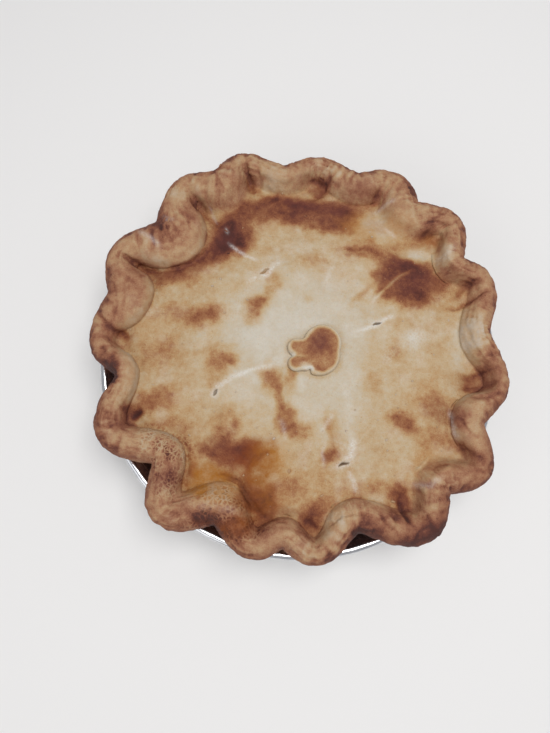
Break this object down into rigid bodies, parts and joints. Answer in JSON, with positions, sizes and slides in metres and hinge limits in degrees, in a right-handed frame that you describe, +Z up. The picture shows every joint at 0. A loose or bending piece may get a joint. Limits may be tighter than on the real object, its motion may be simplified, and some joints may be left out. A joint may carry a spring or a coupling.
{
  "type": "minced beef pie",
  "caption": "Whole round baked pie with a domed lid, a thick finger-fluted crust edge and a small pastry shape, in its pleated foil tin.",
  "frame": {"origin": "centre of the foil tin's flat base, on the surface that it rests on", "axes": "+Z up through the lid, +X to the right and +Y to the far side as the picture shows the pie"},
  "size_m": [0.2225, 0.2256, 0.0599],
  "materials": {
    "crust": "baked shortcrust pastry, dry and slightly floury, cream in the middle and brown on the edge",
    "browned_pastry": "baked pastry, browner on top with pale sides, faintly glossy",
    "foil": "thin pressed aluminium foil, bright with fine pleats"
  },
  "bodies": {
    "root": {"pie_crust": "crust", "pastry_shape": "browned_pastry", "foil_tin": "foil"}
  },
  "joints": []
}
